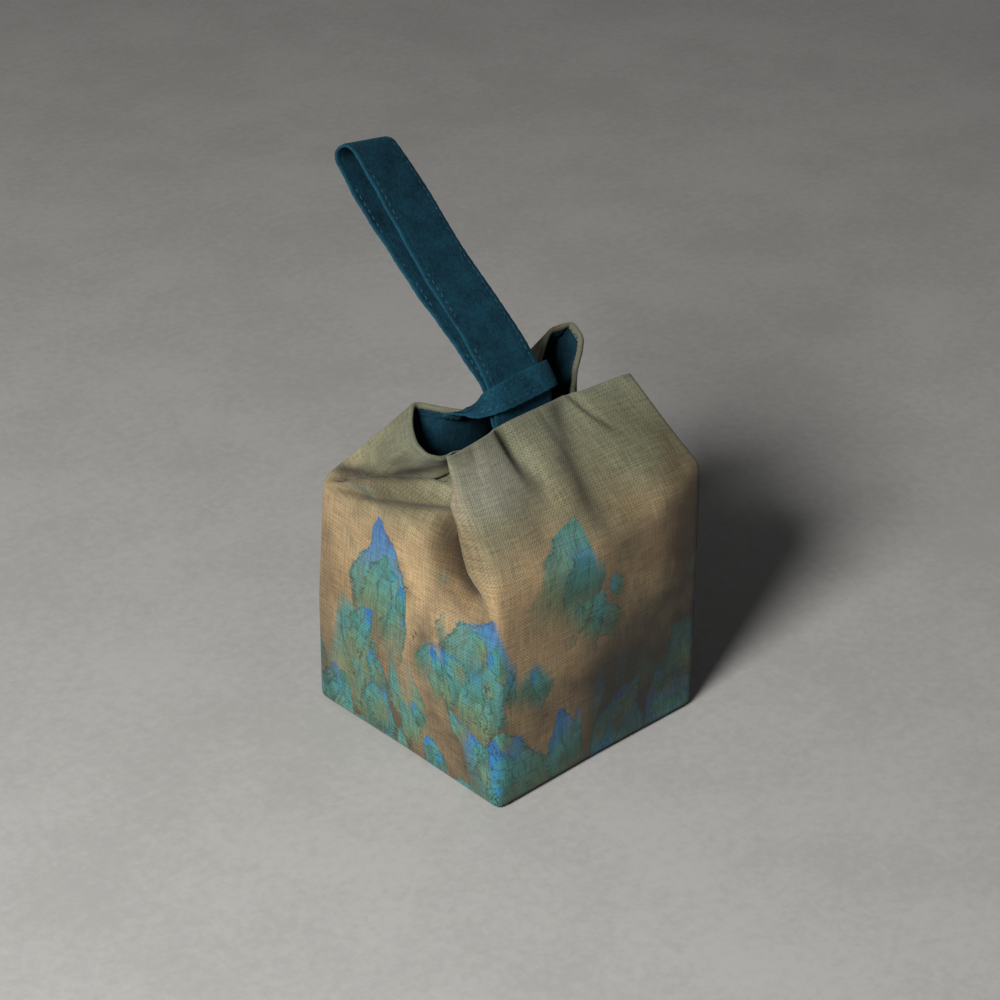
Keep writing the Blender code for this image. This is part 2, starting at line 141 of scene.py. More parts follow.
def brushedLeaves(tree, place, cells, seed, tilt, length, width):
    # Broad leaves, one to a cell, each turned its own way. Gives their mask, the shares along and to the side
    # of each leaf, the hairs of the brush, and each leaf's random colour
    grid = add(tree, "VectorMath", {0: place, 1: (cells, cells * 0.8, 1), 2: (seed, seed * 1.7, 0)},
               operation="MULTIPLY_ADD")
    wobble = add(tree, "TexNoise", {"Vector": grid, "Scale": 2.2, "Detail": 3.0, "Roughness": 0.55},
                 **onFlat)
    wobble = add(tree, "VectorMath", {0: wobble.outputs["Color"], 1: (0.5, 0.5, 0.5)}, operation="SUBTRACT")
    bent = add(tree, "VectorMath", {0: wobble, 1: (0.34, 0.34, 0), 2: grid}, operation="MULTIPLY_ADD")
    cell = add(tree, "TexVoronoi", {"Vector": grid, "Scale": 1.0, "Randomness": 0.85},
               voronoi_dimensions="2D", feature="F1")
    away = add(tree, "VectorMath", {0: bent, 1: cell.outputs["Position"]}, operation="SUBTRACT")
    chance = add(tree, "SeparateColor", {0: cell.outputs["Color"]})
    turn = add(tree, "Math", {0: chance.outputs[0], 1: tilt * 2, 2: -tilt}, operation="MULTIPLY_ADD")
    turned = add(tree, "VectorRotate", {"Vector": away, "Angle": turn}, rotation_type="Z_AXIS")
    across = add(tree, "SeparateXYZ", {0: turned})
    # 0 at the foot, 1 at the tip
    along = add(tree, "Math", {0: across.outputs[1], 1: 1 / (2 * length), 2: 0.5}, operation="MULTIPLY_ADD")
    toTip = add(tree, "Math", {0: 1.02, 1: along}, operation="SUBTRACT")
    fromFoot = add(tree, "Math", {0: along, 1: 0.12}, operation="ADD")
    swell = add(tree, "Math", {0: toTip, 1: fromFoot}, operation="MULTIPLY")
    swell = add(tree, "Math", {0: swell, 1: 0.0}, operation="MAXIMUM")
    swell = add(tree, "Math", {0: swell, 1: 0.8}, operation="POWER")
    swell = add(tree, "Math", {0: swell, 1: width * 3, 2: 0.001}, operation="MULTIPLY_ADD")
    side = add(tree, "Math", {0: across.outputs[0]}, operation="ABSOLUTE")
    side = add(tree, "Math", {0: side, 1: swell}, operation="DIVIDE")
    mask = add(tree, "MapRange", {0: side, 1: 1.0, 2: 0.86}, **softStep)
    foot = add(tree, "MapRange", {0: along, 1: -0.05, 2: 0.42}, **softStep)
    mask = add(tree, "Math", {0: mask, 1: foot}, operation="MULTIPLY")
    hair = add(tree, "VectorMath", {0: turned, 1: (22, 2.6, 1)}, operation="MULTIPLY")
    hair = add(tree, "TexNoise", {"Vector": hair, "Scale": 1.0, "Detail": 3.0}, **onFlat)
    return mask, along, side, hair, chance


def dyedAndShaded(tree, colour, flat, cloud, patches):
    # The colour with soft-edged patches laid over it: dye, and painted shade where a list holds it
    for middleU, middleV, reachU, reachV, tint, most in patches:
        away = add(tree, "VectorMath", {
            0: flat, 1: (1 / reachU, 1 / reachV, 0), 2: (-middleU / reachU, -middleV / reachV, 0)},
            operation="MULTIPLY_ADD")
        away = add(tree, "VectorMath", {0: away}, operation="LENGTH").outputs[1]
        away = add(tree, "Math", {0: cloud, 1: 0.7, 2: away}, operation="MULTIPLY_ADD")
        share = add(tree, "MapRange", {0: away, 1: 1.55, 2: 0.65, 4: most}, **softStep)
        colour = add(tree, "Mix", {0: share, 6: colour, 7: tint}, **ofColours)
    return colour


def printedCanvas():
    # cotton and linen plain weave, dyed in soft bands and printed with brushed leaves; matt, slightly fuzzy
    material, tree, shader = newMaterial("cottonLinenCanvasPrinted", 0.88, {
        "Specular IOR Level": 0.25, "Sheen Weight": 0.10, "Sheen Roughness": 0.5})
    flat = add(tree, "UVMap", uv_map="flatCloth")
    split = add(tree, "SeparateXYZ", {0: flat})
    u, v = split.outputs[0], split.outputs[1]
    # ground: olive at the rim, ochre lower, browner in uneven washes
    wash = add(tree, "TexNoise", {"Vector": flat, "Scale": mapUnit / canvas["wash"], "Detail": 3.0}, **onFlat)
    cloud = add(tree, "TexNoise", {"Vector": flat, "Scale": mapUnit / canvas["cloud"], "Detail": 4.0}, **onFlat)
    height = add(tree, "Math", {0: wash, 1: 0.30, 2: -0.15}, operation="MULTIPLY_ADD")
    height = add(tree, "Math", {0: v, 1: height}, operation="ADD")
    colour = canvas["ochre"]
    for source, low, high, most, tint in (
            (height, 0.72, 1.08, 1.0, canvas["olive"]), (height, 1.05, 1.34, 1.0, canvas["oliveDark"]),
            (wash, 0.48, 0.70, 0.6, canvas["umber"]), (height, 0.46, 0.02, 0.6, canvas["umber"])):
        share = add(tree, "MapRange", {0: source, 1: low, 2: high, 4: most}, **softStep)
        colour = add(tree, "Mix", {0: share, 6: colour, 7: tint}, **ofColours)
    # patches of dye, with painted shade by the left wall's fold and on the front wall's right side
    colour = dyedAndShaded(tree, colour, flat, cloud, canvas["dyeAndShadeWashes"])
    # where the leaves stand: thick at the foot of the walls, thinning upward, none near the rim
    drift = add(tree, "VectorMath", {0: flat, 1: (1.0, 0.45, 1)}, operation="MULTIPLY")
    drift = add(tree, "TexNoise", {
        "Vector": drift, "Scale": mapUnit / canvas["drift"], "Detail": 2.0}, **onFlat)
    stand = add(tree, "Math", {0: drift, 1: 1.75}, operation="MULTIPLY")
    stand = add(tree, "Math", {0: v, 1: -0.70, 2: stand}, operation="MULTIPLY_ADD")
    behind = add(tree, "Math", {0: cloud, 1: 0.6, 2: stand}, operation="MULTIPLY_ADD")
    behind = add(tree, "MapRange", {0: behind, 1: 0.78, 2: 1.2, 4: 0.75}, **softStep)
    colour = add(tree, "Mix", {0: behind, 6: colour, 7: canvas["shade"]}, **ofColours)
    bluish = ((0.0, canvas["umber"]), (0.35, canvas["leafGreen"]), (0.62, canvas["turquoise"]),
              (0.84, canvas["azure"]), (1.0, canvas["deepBlue"]))
    greenish = ((0.0, canvas["umber"]), (0.4, canvas["mossGreen"]), (0.8, canvas["turquoise"]),
                (1.0, canvas["leafGreen"]))
    ink = 0.0
    for cells, seed, tilt, length, width, begin, strength in canvas["leaves"]:
        mask, along, side, hair, chance = brushedLeaves(tree, flat, cells, seed, tilt, length, width)
        # about half of the leaves are blue, the others green
        pick = add(tree, "MapRange", {0: chance.outputs[1], 1: 0.45, 2: 0.55}, **softStep)
        blue = add(tree, "ValToRGB", {0: along}, stops=bluish)
        green = add(tree, "ValToRGB", {0: along}, stops=greenish)
        body = add(tree, "Mix", {0: pick, 6: blue, 7: green}, **ofColours)
        # streaks of the brush, and a dark rib
        for source, low, high, most, tint in (
                (hair, 0.50, 0.68, 0.35, canvas["shade"]), (side, 0.10, 0.02, 0.35, canvas["ink"])):
            share = add(tree, "MapRange", {0: source, 1: low, 2: high, 4: most}, **softStep)
            body = add(tree, "Mix", {0: share, 6: body, 7: tint}, **ofColours)
        here = add(tree, "Math", {0: chance.outputs[2], 1: 0.70, 2: stand}, operation="MULTIPLY_ADD")
        here = add(tree, "MapRange", {0: here, 1: begin, 2: begin + 0.16, 4: strength}, **softStep)
        share = add(tree, "Math", {0: mask, 1: here}, operation="MULTIPLY")
        colour = add(tree, "Mix", {0: share, 6: colour, 7: body}, **ofColours)
        rim = add(tree, "MapRange", {0: side, 1: 0.74, 2: 0.95}, **softStep)
        rim = add(tree, "Math", {0: rim, 1: share}, operation="MULTIPLY")
        ink = add(tree, "Math", {0: ink, 1: rim}, operation="MAXIMUM")
    # over the leaves: painted shade on the walls turned from the light, with darker print low down
    colour = dyedAndShaded(tree, colour, flat, cloud, canvas["printAndShadeGlazes"])
    # ink: broken edge strokes, and a few small dabs gathered low on the walls
    speck = add(tree, "TexNoise", {
        "Vector": flat, "Scale": mapUnit / canvas["speck"], "Detail": 2.0, "Roughness": 0.6}, **onFlat)
    clump = add(tree, "TexNoise", {"Vector": flat, "Scale": mapUnit / canvas["clump"], "Detail": 2.0}, **onFlat)
    near = add(tree, "Math", {0: stand, 1: 0.35, 2: clump}, operation="MULTIPLY_ADD")
    near = add(tree, "MapRange", {0: near, 1: 0.92, 2: 1.0, 4: 0.75}, **softStep)
    for source, low, high, most in ((ink, 0.38, 0.56, 0.9), (near, 0.50, 0.62, 0.8)):
        spots = add(tree, "MapRange", {0: speck, 1: low, 2: high, 4: most}, **softStep)
        spots = add(tree, "Math", {0: source, 1: spots}, operation="MULTIPLY")
        colour = add(tree, "Mix", {0: spots, 6: colour, 7: canvas["ink"]}, **ofColours)
    # plain weave: warp and weft cross over and under, so each thread swells where it lies on top
    turns = mapUnit / canvas["threadPitch"] * math.pi
    waves = []
    for way in (u, v):
        turned = add(tree, "Math", {0: way, 1: turns}, operation="MULTIPLY")
        waves.append(add(tree, "Math", {0: turned}, operation="SINE"))
    over = add(tree, "Math", {0: waves[0], 1: waves[1]}, operation="MULTIPLY")
    # painted shade: darker where the cloth is folded in, in the creases, the fold pocket and the front grooves
    foldShadeTone = add(tree, "Attribute", attribute_name="paintedFoldShade").outputs["Fac"]
    colour = add(tree, "Mix", {0: foldShadeTone, 6: colour, 7: canvas["foldShadeTone"]}, **ofColours)
    thread = add(tree, "TexNoise", {
        "Vector": flat, "Scale": mapUnit / canvas["fibre"], "Detail": 2.0}, **onFlat)
    shade = add(tree, "Math", {0: thread, 1: 0.45}, operation="MULTIPLY")
    long, wide = (mapUnit / size for size in canvas["slub"])
    for stretch in ((long, wide, 1), (wide, long, 1)):
        run = add(tree, "VectorMath", {0: flat, 1: stretch}, operation="MULTIPLY")
        slub = add(tree, "TexNoise", {"Vector": run, "Scale": 1.0, "Detail": 2.0}, **onFlat)
        thread = add(tree, "Math", {0: slub, 1: 0.5, 2: thread}, operation="MULTIPLY_ADD")
        shade = add(tree, "Math", {0: slub, 1: 0.4, 2: shade}, operation="MULTIPLY_ADD")
    thread = add(tree, "Math", {0: over, 1: 0.45, 2: thread}, operation="MULTIPLY_ADD")
    # colour lighter where a thread lies on top and darker between: painted shade of the weave, over the uneven
    # tone of the threads
    shade = add(tree, "Math", {0: over, 1: 0.11, 2: shade}, operation="MULTIPLY_ADD")
    shade = add(tree, "MapRange", {0: shade, 1: 0.34, 2: 0.86, 3: 0.42, 4: 1.30})
    colour = add(tree, "Mix", {0: 1.0, 6: colour, 7: shade}, **ofColours, blend_type="MULTIPLY")
    tree.links.new(colour.outputs[2], shader.inputs["Base Color"])
    bump = add(tree, "Bump", {"Height": thread, "Distance": canvas["weaveBump"], "Strength": 1.0})
    tree.links.new(bump.outputs[0], shader.inputs["Normal"])
    return material


# Suede-like cloth of the strap, the keeper and the lining: colours where the nap lies down, where it stands and
# where it is rubbed, and mm across its blotches, its tufts and its hairs, which are drawn coarse to show.
suede = {"strap": ("#08222d", "#133f50", "#174a58"), "lining": ("#081c25", "#123644", "#1b4a5a"),
         "sheen": "#4d8a9c", "blotch": 7.6923, "tuft": 1.6129, "nap": 0.66667, "napBump": 0.00024}


def brushedSuede(name, dark, mid, worn, edge):
    # polyester suede, brushed to a short nap: mottled where the nap lies both ways, pale where a fold wears it
    material, tree, shader = newMaterial(name, 0.95, {
        "Specular IOR Level": 0.12, "Sheen Weight": 0.08, "Sheen Roughness": 0.5,
        "Sheen Tint": fromHex(suede["sheen"])})
    place = add(tree, "TexCoord").outputs["Object"]
    perMetre = {size: 1 / (suede[size] * mm) for size in ("blotch", "nap", "tuft")}
    blotch = add(tree, "TexNoise", {
        "Vector": place, "Scale": perMetre["blotch"], "Detail": 4.0, "Roughness": 0.6})
    nap = add(tree, "TexNoise", {"Vector": place, "Scale": perMetre["nap"], "Detail": 3.0})
    hair = add(tree, "TexNoise", {"Vector": place, "Scale": perMetre["tuft"], "Detail": 3.0, "Roughness": 0.7})
    tone = add(tree, "Math", {0: blotch, 1: 0.45}, operation="MULTIPLY")
    tone = add(tree, "Math", {0: hair, 1: 0.45, 2: tone}, operation="MULTIPLY_ADD")
    tone = add(tree, "Math", {0: nap, 1: 0.30, 2: tone}, operation="MULTIPLY_ADD")
    colour = add(tree, "ValToRGB", {0: tone}, stops=((0.46, dark), (0.76, mid)))
    if edge:
        band = add(tree, "SeparateXYZ", {0: add(tree, "UVMap", uv_map="bandEdge")})
        rubbed = add(tree, "Math", {0: hair, 1: 0.010, 2: band.outputs[0]}, operation="MULTIPLY_ADD")
        rubbed = add(tree, "MapRange", {0: rubbed, 1: 0.014, 2: 0.007, 4: 0.2}, **softStep)
        colour = add(tree, "Mix", {0: rubbed, 6: colour, 7: worn}, **ofColours)
    tree.links.new(colour.outputs[2 if edge else 0], shader.inputs["Base Color"])
    height = add(tree, "Math", {0: hair, 1: 0.8, 2: nap.outputs[0]}, operation="MULTIPLY_ADD")
    bump = add(tree, "Bump", {"Height": height, "Distance": suede["napBump"], "Strength": 0.8})
    tree.links.new(bump.outputs[0], shader.inputs["Normal"])
    return material


# Sewing thread: colours, mm from one ply to the next, and how far in metres the plies stand out
sewingThread = {"teal": "#1a4856", "dark": "#0d2029", "ply": 0.45455, "plyBump": 0.00008}


def threadMaterial(name, code):
    # spun polyester sewing thread, twisted plies: slight gloss, fine ridges
    material, tree, shader = newMaterial(name, 0.6, {"Specular IOR Level": 0.35, "Base Color": fromHex(code)})
    place = add(tree, "TexCoord").outputs["Object"]
    ply = add(tree, "TexNoise", {"Vector": place, "Scale": 1 / (sewingThread["ply"] * mm), "Detail": 2.0})
    bump = add(tree, "Bump", {"Height": ply, "Distance": sewingThread["plyBump"]})
    tree.links.new(bump.outputs[0], shader.inputs["Normal"])
    return material


canvasMaterial = printedCanvas()
liningMaterial = brushedSuede("polyesterSuedeLining", *suede["lining"], False)
strapMaterial = brushedSuede("polyesterSuedeFoldedStrap", *suede["strap"], True)
tealThread = threadMaterial("polyesterThreadTeal", sewingThread["teal"])
darkThread = threadMaterial("polyesterThreadDark", sewingThread["dark"])
print("materials made")

# The wall cloth is drawn flat, u round the walls from the near front edge and v up to the rim, in mm.
cloth = {"girth": 360.0, "side": 90.0, "top": 132.0, "step": 1.0, "softPasses": 10, "normalPasses": 40,
         "canvasThick": 0.8, "liningThick": 0.6, "gap": 0.3, "hem": 2.4, "turned": 10.0, "baseRound": 2.5,
         "seamAt": 270, "canvasColumns": 360, "liningColumns": 300}
liningOut = cloth["canvasThick"] + cloth["gap"]          # from the canvas's face in to the lining's outer face
wallThick = liningOut + cloth["liningThick"]

# Flat place (u, v) and folded place (x, y, z). Walls in order: front, right, far, left.
foldPoints = (
    # base edge and lower walls
    (0, 0, -45.6, -45.6, 0), (45, 0, 0, -45, 0), (90, 0, 45.6, -45.6, 0), (135, 0, 45, 0, 0),
    (180, 0, 45.6, 45.6, 0), (225, 0, 0, 45, 0), (270, 0, -45.6, 45.6, 0), (315, 0, -45, 0, 0),
    (0, 40, -46, -46, 40), (22, 38, -23, -46.6, 38), (45, 40, 0, -47, 40), (68, 38, 23, -46.6, 38),
    (90, 40, 46, -46, 40), (112, 38, 46.6, -23, 38), (135, 40, 47, 0, 40), (158, 38, 46.6, 23, 38),
    (180, 40, 46, 46, 40), (202, 38, 23, 46.4, 38), (225, 40, 0, 46.4, 40), (248, 38, -23, 46.4, 38),
    (270, 40, -45.4, 45.4, 40), (292, 38, -46.6, 23, 38), (315, 40, -47, 0, 40), (338, 38, -46.6, -23, 38),
    # front wall: shoulder, slope and rim
    (0, 70, -46, -46, 70), (0, 82, -45.6, -45, 82), (24, 82, -22, -47, 82), (45, 82, 0, -47, 82),
    (68, 86, 23, -47, 86), (90, 84, 46, -46, 84), (90, 95, 45.8, -45.8, 95.4),
    (0, 95, -43.4, -38.5, 94), (0, 112, -42.6, -28, 107), (14, 106, -32, -33.5, 102),
    (30, 106, -16, -31, 100), (45, 106, 0, -32, 101.5), (60, 106, 15, -31, 101),
    (76, 108, 31, -33.5, 104.4), (90, 114, 43.4, -31.5, 107.8),
    (0, 132, -38.5, -17, 118.8), (13, 132, -28, -15.5, 118.6), (24, 132, -18.6, -13.4, 118),
    (30, 132, -14.6, -11.8, 118), (35, 132, -10.8, -11.6, 118), (45, 132, 0, -11.8, 118.4),
    (56, 132, 11, -11.6, 118.2), (63, 132, 16.8, -10.2, 117.8), (70, 132, 22.5, -13.2, 118.2),
    (78, 132, 30, -13.8, 118.6), (90, 132, 41.6, -17, 119.8),
    # right wall: folded in, its far half standing as an ear
    (112, 88, 46.6, -22, 88), (135, 86, 46.5, 0, 86), (158, 84, 46.6, 22, 84), (97, 112, 41.6, -23, 101.6),
    (112, 104, 38, -22, 96), (135, 104, 36, -2, 94), (135, 118, 27, -7, 99), (155, 106, 36, 18, 96),
    (112, 120, 32, -16, 104), (98, 132, 39.4, -9.8, 114.6), (108, 132, 31.4, -7.4, 111.6),
    (121, 132, 25, -8.6, 109.5), (135, 132, 24.4, -6.6, 114.6),
    (145, 132, 31, -1.8, 117), (157, 132, 40.6, 5.4, 118.6), (168, 132, 47.4, 11.6, 119.4),
    (180, 87, 45.6, 45.6, 87), (180, 132, 52, 22, 120.4),
    # far wall: pulled forward in its middle
    (202, 80, 23, 45.5, 80), (225, 74, 0, 45, 74), (248, 80, -23, 45.5, 80),
    (205, 108, 24, 30, 104), (225, 106, 0, 24, 98), (246, 108, -22, 27, 103),
    (190, 132, 41.6, 23.4, 120.8), (202, 132, 29, 14, 119), (212, 132, 17.5, 4.6, 117.8),
    (225, 132, 0, 1.5, 117.4), (237, 132, -13, 2.8, 117.6), (246, 132, -18, 8, 118.4),
    (254, 132, -21.4, 13.2, 119), (262, 132, -23.8, 16.4, 119.4),
    # left wall: folded in, with a soft roll between its two creases
    (270, 86, -43, 43.6, 86.6), (270, 132, -26.6, 16, 119.8),
    (292, 86, -45.2, 21, 87), (308, 88, -46.2, 6, 89), (326, 88, -45.4, -11, 89),
    (333, 82, -46, -16, 82.4), (339, 83, -43.4, -21.6, 83.4),
    (296, 92, -44.4, 19, 91.6), (313, 96.5, -42.2, 2.3, 95.6), (329, 99, -38, -12, 97),
    (285, 98, -41.6, 30, 92.4), (299, 99.5, -40, 17.6, 97), (313, 105, -33.6, 2.6, 100),
    (286, 102, -38, 28, 91.6), (301, 107.5, -32, 15, 95.4), (314, 113.5, -25, 1.6, 99),
    (321, 118, -20, -6, 101), (327, 110, -28, -11, 101.5), (329, 92, -45, -13, 91.4),
    (335, 92, -44.2, -17.8, 90.8), (340, 93, -40.6, -20.8, 91), (342, 106, -34, -20.4, 98.5),
    (345, 118, -33.4, -14, 104.6),
    (278, 132, -32.4, 10.4, 116.8), (286, 132, -36.4, 3.6, 113.6), (295, 132, -36.4, -2, 110.8),
    (304, 132, -32, -4.8, 109), (316, 132, -24.6, -4.2, 108.2), (330, 132, -20.6, -7, 110.4),
    (345, 132, -32, -8.2, 113.6),
    # where it turns under the front wall's edge
    (351, 78, -46.2, -37.4, 78), (352.5, 88, -47.8, -34.4, 87.4), (354, 98, -47.6, -31, 96.6),
    (355, 108, -46.4, -27.6, 104.6), (356.5, 119, -44, -22.4, 112), (357.5, 132, -41.4, -16.6, 119.6),
    (345, 86, -36, -24.6, 85.4), (345, 94, -32.4, -22.8, 91.4), (347, 101, -32.4, -22.4, 97),
)
# The edges of the walls and their sharp folds: flat places along each
folds = (
    ((0, 0), (0, 40), (0, 70), (0, 82), (0, 95), (0, 112), (0, 132)),
    ((90, 0), (90, 40), (90, 84), (90, 95), (90, 114), (90, 132)),
    ((180, 0), (180, 40), (180, 87), (180, 132)), ((270, 0), (270, 40), (270, 86), (270, 132)),
    ((270, 86), (296, 92), (313, 96.5), (329, 99)),
    ((270, 86), (286, 102), (301, 107.5), (314, 113.5), (321, 118), (316, 132)),
    ((180, 87), (155, 106), (135, 118), (135, 132)),
    ((351, 78), (352.5, 88), (354, 98), (355, 108), (356.5, 119), (357.5, 132)),
    ((351, 78), (345, 86), (345, 94), (347, 101), (345, 118), (345, 132)),
)
# Pressed into the cloth: flat start and end, width, depth (negative stands out), share where it is deepest.
grooves = (
    (30.5, 133, 36, 98, 6.0, 3.1, 0.25),
    (64.0, 133, 70, 114, 1.5, 1.6, 0.30),
    (48.0, 133, 51, 108, 3.0, 0.5, 0.20),
    (12.0, 133, 10, 112, 5.0, 0.5, 0.20),
)
# Creases that the softening loses: flat places along each, width, depth (negative stands out).
creases = (
    (((272, 88), (286, 101), (301, 106), (314, 110.5), (324, 115)), 2.4, 5.4),
    (((279, 101), (290, 107.5), (303, 111.5), (316, 118)), 3.8, -2.6),
    (((272, 84.5), (284, 88), (296, 91.5), (313, 97.5), (329, 102.5), (338, 104)), 2.2, 3.4),
    (((284, 94), (300, 99.0), (314, 104), (326, 108)), 2.8, -2.0),
    (((305, 110), (313, 109), (322, 107.5)), 1.6, 1.4),
    (((350.5, 75), (347.5, 80), (345.5, 88), (345, 97), (345.5, 108), (348, 117)), 3.0, 6.5),
    (((347, 80), (340, 91), (337, 102)), 7.0, 2.9),
    (((354, 72), (348.5, 71.5), (341, 75)), 2.4, -1.0),
    (((62, 134), (56, 122), (52, 110), (51, 98), (53, 88)), 6.0, 2.5),
)
# Cloth moved bodily: flat places along each run, width, and how far in x, y, z.
pulls = (
    (((276, 95), (288, 103.5), (302, 108.5), (315, 113)), 3.0, (-1.0, 0.0, 0.8)),
    (((352, 81), (352.8, 90), (354, 98), (355, 108), (356.5, 118)), 3.0, (-1.7, 1.7, 0.0)),
)
# Painted shade, darker where the cloth folds in: flat places along each run, width, share.
paintedFoldShade = (
    (((271, 86), (278, 93), (288, 98), (298, 100), (307, 103), (314, 107), (319, 112)), 3.0, 0.90),
    (((266, 90), (276, 97), (283, 102), (288, 107), (294, 109.5), (298, 113.5), (302, 117.5), (306, 121.5),
      (309, 125)), 2.8, 0.80),
    (((271, 83), (284, 87), (296, 90.5), (313, 96.5), (329, 101.5), (339, 104)), 1.7, 0.55),
    (((350, 75), (347, 80), (345, 88), (344.5, 97), (345, 108), (348, 118)), 3.2, 0.75),
    (((345, 80), (338, 90), (335, 100)), 6.0, 0.35),
    (((30, 133), (32, 118), (35, 104)), 2.6, 0.35), (((63, 133), (66, 124), (70, 114)), 1.0, 0.55),
)


def foldedGrid():
    rows = list(foldPoints) + [(cloth["girth"],) + row[1:] for row in foldPoints if row[0] == 0]
    places = [(float(row[0]), float(row[1])) for row in rows]
    folded = np.array([row[2:] for row in rows], float)
    index = {place: number for number, place in enumerate(places)}
    edges = []
    for run in folds:
        edges += [(index[start], index[end]) for start, end in zip(run, run[1:])]
        if run[0][0] == 0:
            shut = [(cloth["girth"], v) for _, v in run]
            edges += [(index[start], index[end]) for start, end in zip(shut, shut[1:])]
    for v in (0.0, cloth["top"]):
        line = sorted(place for place in places if place[1] == v)
        edges += [(index[low], index[high]) for low, high in zip(line, line[1:])]
    result = delaunay_2d_cdt([Vector(place) for place in places], edges, [], 1, 1e-6)
    points, faces, sources = result[0], result[2], result[3]
    columns = int(round(cloth["girth"] / cloth["step"]))
    count = int(round(cloth["top"] / cloth["step"]))
    u, v = np.meshgrid(np.arange(columns) * cloth["step"], np.linspace(0.0, cloth["top"], count + 1))
    sheet = np.zeros(u.shape + (3,))
    for face in faces:
        a, b, c = (np.array(points[corner]) for corner in face)
        size = (b[0] - a[0]) * (c[1] - a[1]) - (c[0] - a[0]) * (b[1] - a[1])
        wb = ((u - a[0]) * (c[1] - a[1]) - (c[0] - a[0]) * (v - a[1])) / size
        wc = ((b[0] - a[0]) * (v - a[1]) - (u - a[0]) * (b[1] - a[1])) / size
        inside = (wb > -1e-6) & (wc > -1e-6) & (wb + wc < 1 + 1e-6)
        pa, pb, pc = (folded[sources[corner][0]] for corner in face)
        place = pa + wb[..., None] * (pb - pa) + wc[..., None] * (pc - pa)
        sheet[inside] = place[inside]
    return u, v, sheet


def widened(field):
    field = np.concatenate([field[:, -1:], field, field[:, :1]], axis=1)
    return np.concatenate([2 * field[:1] - field[1:2], field, 2 * field[-1:] - field[-2:-1]], axis=0)


def softened(sheet, passes):
    for _ in range(passes):
        wide = widened(sheet)
        across = (wide[1:-1, :-2] + 2 * wide[1:-1, 1:-1] + wide[1:-1, 2:]) / 4
        wide = widened(across)
        sheet = (wide[:-2, 1:-1] + 2 * wide[1:-1, 1:-1] + wide[2:, 1:-1]) / 4
    return sheet


def sheetNormals(sheet):
    wide = widened(sheet)
    normal = np.cross(wide[1:-1, 2:] - wide[1:-1, :-2], wide[2:, 1:-1] - wide[:-2, 1:-1])
    return normal / np.maximum(np.linalg.norm(normal, axis=-1, keepdims=True), 1e-9)


def nearRun(u, v, run, width):
    # 1 on the run, fading over its width and towards its ends
    lengths = [math.dist(a, b) for a, b in zip(run, run[1:])]
    nearest, place = np.full(u.shape, 1e9), np.zeros_like(u)
    passed = 0.0
    for (a, b), length in zip(zip(run, run[1:]), lengths):
        share = np.clip(((u - a[0]) * (b[0] - a[0]) + (v - a[1]) * (b[1] - a[1])) / length ** 2, 0, 1)
        off = np.hypot(u - a[0] - share * (b[0] - a[0]), v - a[1] - share * (b[1] - a[1]))
        closer = off < nearest
        nearest = np.where(closer, off, nearest)
        place = np.where(closer, (passed + share * length) / sum(lengths), place)
        passed += length
    return np.clip(np.minimum(place, 1 - place) * 5 + 0.15, 0, 1) * np.exp(-(nearest / width) ** 2)


def pressed(u, v):
    depth = np.zeros_like(u)
    for u0, v0, u1, v1, width, deep, crest in grooves:
        runU, runV = u1 - u0, v1 - v0
        share = ((u - u0) * runU + (v - v0) * runV) / (runU ** 2 + runV ** 2)
        off = ((u - u0) * runV - (v - v0) * runU) / math.hypot(runU, runV)
        fade = np.where(share < crest, 0.5 + 0.5 * share / crest, (1 - share) / (1 - crest))
        depth += deep * np.clip(fade, 0, 1) * np.exp(-(off / (width * 0.6)) ** 2)
    for run, width, deep in creases:
        depth += deep * nearRun(u, v, run, width)
    return depth


def makeCloth():
    u, v, sheet = foldedGrid()
    sheet = softened(sheet, cloth["softPasses"])
    sheet = sheet - sheetNormals(sheet) * pressed(u, v)[..., None]
    for run, width, move in pulls:
        sheet = sheet + nearRun(u, v, run, width)[..., None] * np.array(move)
    normals = softened(sheetNormals(sheet), cloth["normalPasses"])
    return sheet, normals / np.linalg.norm(normals, axis=-1, keepdims=True)


sheet, sheetOut = makeCloth()


def onCloth(u, v, inset=0.0):
    # Places on the wall cloth, in mm, for arrays of flat u and v; inset is the distance in from its face
    u, v, inset = np.broadcast_arrays(np.asarray(u, float), np.asarray(v, float), np.asarray(inset, float))
    column = (u % cloth["girth"]) / cloth["step"]
    row = np.clip(v / cloth["step"], 0, sheet.shape[0] - 1 - 1e-6)
    c0, r0 = np.floor(column).astype(int), np.floor(row).astype(int)
    fc, fr = (column - c0)[..., None], (row - r0)[..., None]
    c0 %= sheet.shape[1]
    c1 = (c0 + 1) % sheet.shape[1]

    def read(field):
        low = field[r0, c0] * (1 - fc) + field[r0, c1] * fc
        high = field[r0 + 1, c0] * (1 - fc) + field[r0 + 1, c1] * fc
        return low * (1 - fr) + high * fr

    normal = read(sheetOut)
    normal = normal / np.linalg.norm(normal, axis=-1, keepdims=True)
    return read(sheet) - normal * inset[..., None]


